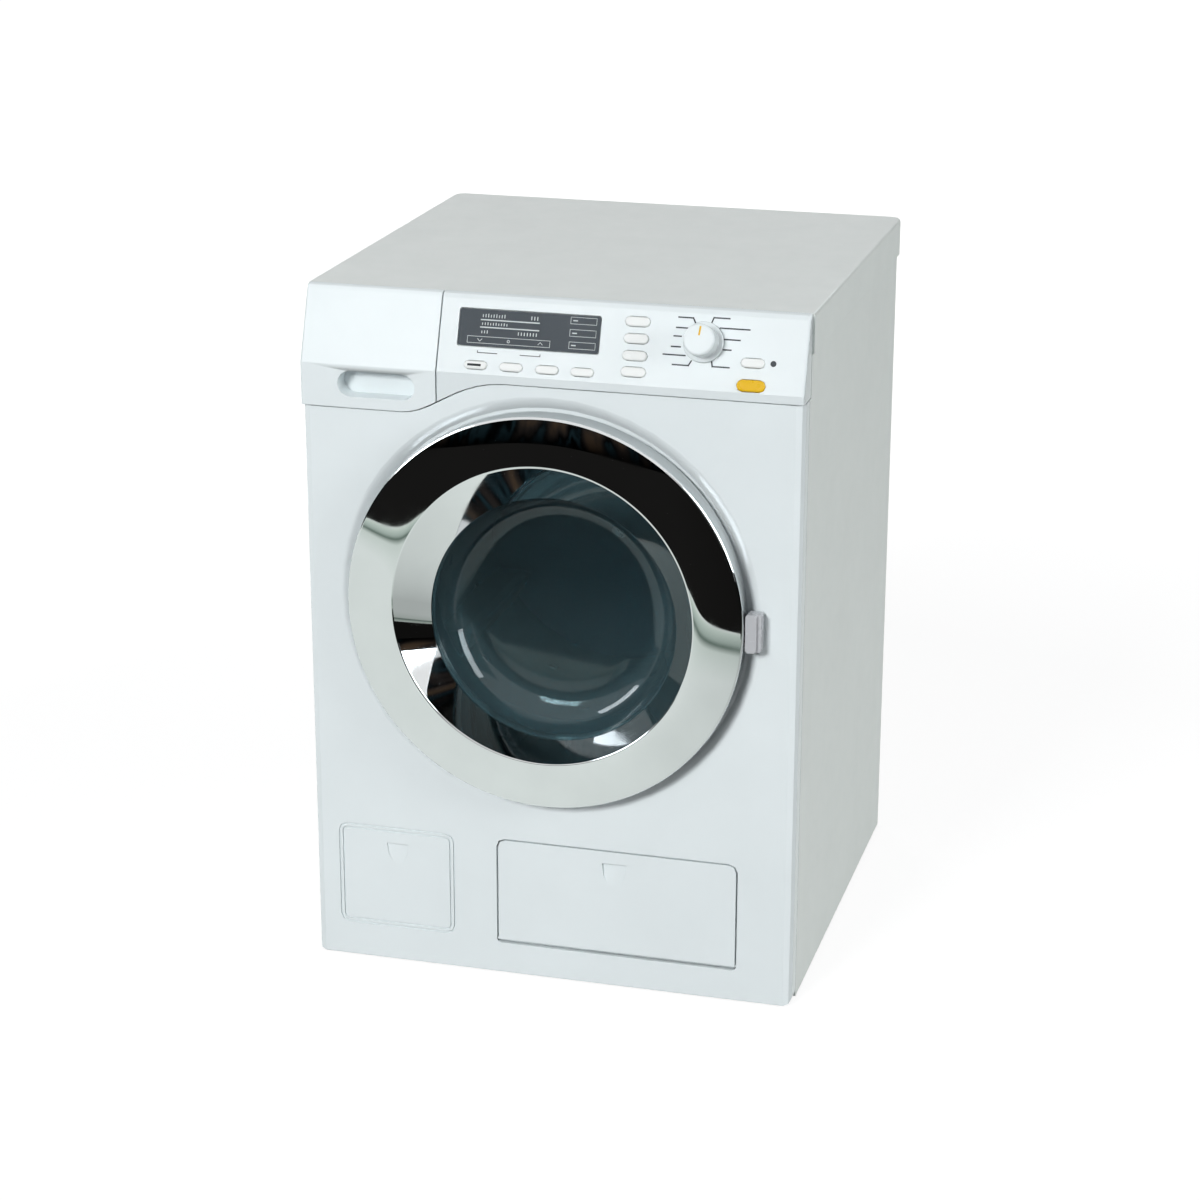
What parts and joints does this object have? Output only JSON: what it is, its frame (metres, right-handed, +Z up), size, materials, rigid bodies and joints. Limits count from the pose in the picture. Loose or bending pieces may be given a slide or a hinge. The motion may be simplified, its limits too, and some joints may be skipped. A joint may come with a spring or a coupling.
{
  "type": "toy washing machine",
  "caption": "White toy front-loading washing machine with a bright round door, turning drum, detergent drawer, flap, knob and push buttons.",
  "frame": {"origin": "middle of the overall width and depth, on the floor", "axes": "+Z up, -Y to the front where the door is, +X to the viewer's right"},
  "size_m": [0.1864, 0.1948, 0.2604],
  "materials": {
    "white_gloss": "glossy white",
    "white_inner": "satin white",
    "grey_gloss": "glossy light grey",
    "bright_chrome": "mirror bright",
    "smoky_clear": "clear with a smoky tint",
    "slate_window": "glossy slate",
    "yellow_gloss": "glossy yellow",
    "grey_rubber": "matt",
    "grey_plastic": "satin",
    "dark_plastic": "matt",
    "drum_metal": "satin silver grey",
    "drum_lifter": "satin",
    "gear_plastic": "natural",
    "bare_steel": "bare",
    "motor_can": "bare",
    "board_green": "lacquered",
    "cell_sleeve": "sleeved"
  },
  "bodies": {
    "cabinet": {"front_shell": "white_gloss", "body_shell": "white_gloss", "top_lid": "white_gloss", "base_plate": "white_inner", "service_niche": "white_inner", "speaker": "dark_plastic", "control_panel": "white_gloss", "display_window": "slate_window", "display_card": "dark_plastic", "key_mat": "grey_rubber", "circuit_board": "board_green", "program_switch": "dark_plastic", "drawer_housing": "white_inner", "hinge_bracket": "grey_plastic", "hinge_pin": "bare_steel", "door_gasket": "grey_rubber", "latch_spring": "bare_steel", "tub": "grey_plastic", "shaft_bush": "gear_plastic", "idler_pin": "bare_steel", "motor": "motor_can", "gear_plate": "grey_plastic", "battery_box": "white_inner", "battery_lid": "white_gloss", "battery_lid_screw": "bare_steel", "contact_left": "bare_steel", "contact_right": "bare_steel", "battery_cell_1": "cell_sleeve", "battery_cell_2": "cell_sleeve", "battery_cell_3": "cell_sleeve", "battery_cell_4": "cell_sleeve"},
    "door": {"door_ring": "bright_chrome", "door_frame": "grey_gloss", "door_glass": "smoky_clear", "door_grip": "grey_gloss"},
    "drum": {"drum": "drum_metal", "drum_lifter_1": "drum_lifter", "drum_lifter_2": "drum_lifter", "drum_lifter_3": "drum_lifter", "drum_shaft": "bare_steel", "drum_gear": "gear_plastic"},
    "idler": {"idler_gear": "gear_plastic"},
    "pinion": {"motor_pinion": "gear_plastic"},
    "knob": {"program_knob": "white_gloss"},
    "drawer": {"drawer_front": "white_gloss", "drawer_tray": "white_inner"},
    "flap": {"service_flap": "white_gloss"},
    "latch": {"latch_bar": "grey_plastic"},
    "function_button_1": {"function_button_1": "white_gloss"},
    "function_button_2": {"function_button_2": "white_gloss"},
    "function_button_3": {"function_button_3": "white_gloss"},
    "function_button_4": {"function_button_4": "white_gloss"},
    "option_button_1": {"option_button_1": "white_gloss"},
    "option_button_2": {"option_button_2": "white_gloss"},
    "option_button_3": {"option_button_3": "white_gloss"},
    "option_button_4": {"option_button_4": "white_gloss"},
    "extra_button": {"extra_button": "white_gloss"},
    "door_button": {"door_button": "yellow_gloss"}
  },
  "joints": [
    {"name": "door_hinge", "type": "hinge", "parent": "cabinet", "child": "door", "pos_m": [-0.0702, -0.09105, 0.1473], "axis": [0, 0, -1], "range_deg": [0, 100]},
    {"name": "drum_spin", "type": "hinge", "parent": "cabinet", "child": "drum", "pos_m": [0, -0.02735, 0.1473], "axis": [0, -1, 0], "continuous": true},
    {"name": "idler_spin", "type": "hinge", "parent": "cabinet", "child": "idler", "pos_m": [0.02006, 0.03865, 0.11256], "axis": [0, -1, 0], "continuous": true},
    {"name": "pinion_spin", "type": "hinge", "parent": "cabinet", "child": "pinion", "pos_m": [0.02006, 0.03865, 0.08843], "axis": [0, -1, 0], "continuous": true},
    {"name": "knob_turn", "type": "hinge", "parent": "cabinet", "child": "knob", "pos_m": [0.0554, -0.08264, 0.24909], "axis": [0, -0.9391, 0.3437], "continuous": true},
    {"name": "drawer_slide", "type": "slide", "parent": "cabinet", "child": "drawer", "axis": [0, -1, 0], "range_m": [0, 0.045]},
    {"name": "flap_hinge", "type": "hinge", "parent": "cabinet", "child": "flap", "pos_m": [0.0256, -0.08635, 0.0143], "axis": [1, 0, 0], "range_deg": [0, 90]},
    {"name": "latch_slide", "type": "slide", "parent": "cabinet", "child": "latch", "axis": [0, 0, -1], "range_m": [0, 0.00195], "stiffness_N_per_m": 300, "springref_m": -0.001, "deforming": ["latch_spring"]},
    {"name": "function_button_1_press", "type": "slide", "parent": "cabinet", "child": "function_button_1", "axis": [0, 0.9391, -0.3437], "range_m": [0, 0.001], "stiffness_N_per_m": 200, "springref_m": -0.0005},
    {"name": "function_button_2_press", "type": "slide", "parent": "cabinet", "child": "function_button_2", "axis": [0, 0.9391, -0.3437], "range_m": [0, 0.001], "stiffness_N_per_m": 200, "springref_m": -0.0005},
    {"name": "function_button_3_press", "type": "slide", "parent": "cabinet", "child": "function_button_3", "axis": [0, 0.9391, -0.3437], "range_m": [0, 0.001], "stiffness_N_per_m": 200, "springref_m": -0.0005},
    {"name": "function_button_4_press", "type": "slide", "parent": "cabinet", "child": "function_button_4", "axis": [0, 0.9391, -0.3437], "range_m": [0, 0.001], "stiffness_N_per_m": 200, "springref_m": -0.0005},
    {"name": "option_button_1_press", "type": "slide", "parent": "cabinet", "child": "option_button_1", "axis": [0, 0.9391, -0.3437], "range_m": [0, 0.001], "stiffness_N_per_m": 200, "springref_m": -0.0005},
    {"name": "option_button_2_press", "type": "slide", "parent": "cabinet", "child": "option_button_2", "axis": [0, 0.9391, -0.3437], "range_m": [0, 0.001], "stiffness_N_per_m": 200, "springref_m": -0.0005},
    {"name": "option_button_3_press", "type": "slide", "parent": "cabinet", "child": "option_button_3", "axis": [0, 0.9391, -0.3437], "range_m": [0, 0.001], "stiffness_N_per_m": 200, "springref_m": -0.0005},
    {"name": "option_button_4_press", "type": "slide", "parent": "cabinet", "child": "option_button_4", "axis": [0, 0.9391, -0.3437], "range_m": [0, 0.001], "stiffness_N_per_m": 200, "springref_m": -0.0005},
    {"name": "extra_button_press", "type": "slide", "parent": "cabinet", "child": "extra_button", "axis": [0, 0.9391, -0.3437], "range_m": [0, 0.001], "stiffness_N_per_m": 200, "springref_m": -0.0005},
    {"name": "door_button_press", "type": "slide", "parent": "cabinet", "child": "door_button", "axis": [0, 0.9391, -0.3437], "range_m": [0, 0.0015], "stiffness_N_per_m": 200, "springref_m": -0.0005}
  ],
  "couplings": [
    {"joint": "idler_spin", "follows": "drum_spin", "ratio": -1.7778},
    {"joint": "pinion_spin", "follows": "drum_spin", "ratio": 2.6667},
    {"joint": "latch_slide", "follows": "door_button_press", "ratio": 1.2828}
  ]
}
